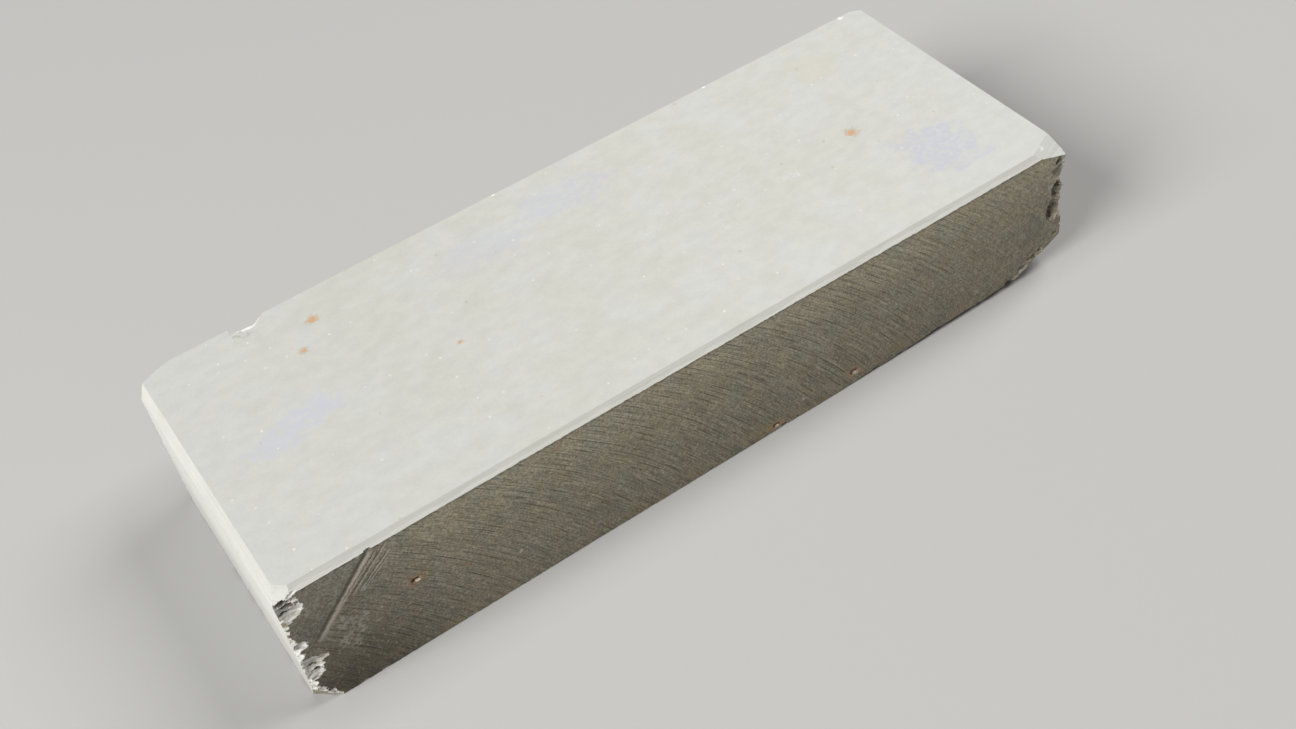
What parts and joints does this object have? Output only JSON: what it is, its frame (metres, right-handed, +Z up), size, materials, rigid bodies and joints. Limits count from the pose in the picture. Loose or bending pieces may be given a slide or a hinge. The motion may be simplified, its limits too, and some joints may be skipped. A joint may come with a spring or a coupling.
{
  "type": "sharpening whetstone",
  "caption": "Natural sharpening whetstone: a sawn rectangular block with a flat lapped working face, eased edges and chipped corners, for honing edge tools.",
  "frame": {"origin": "on the base, under the middle of the stone's bounding box", "axes": "+X along the stone's length towards the leaning end, +Y across its width towards the far long side, +Z up out of the working face"},
  "size_m": [0.2096, 0.075, 0.0393],
  "materials": {
    "whetstone": "fine-grained light grey-green stone, lapped matt on the working face and left sawn or broken elsewhere"
  },
  "bodies": {
    "root": {"stone_block": "whetstone"}
  },
  "joints": []
}
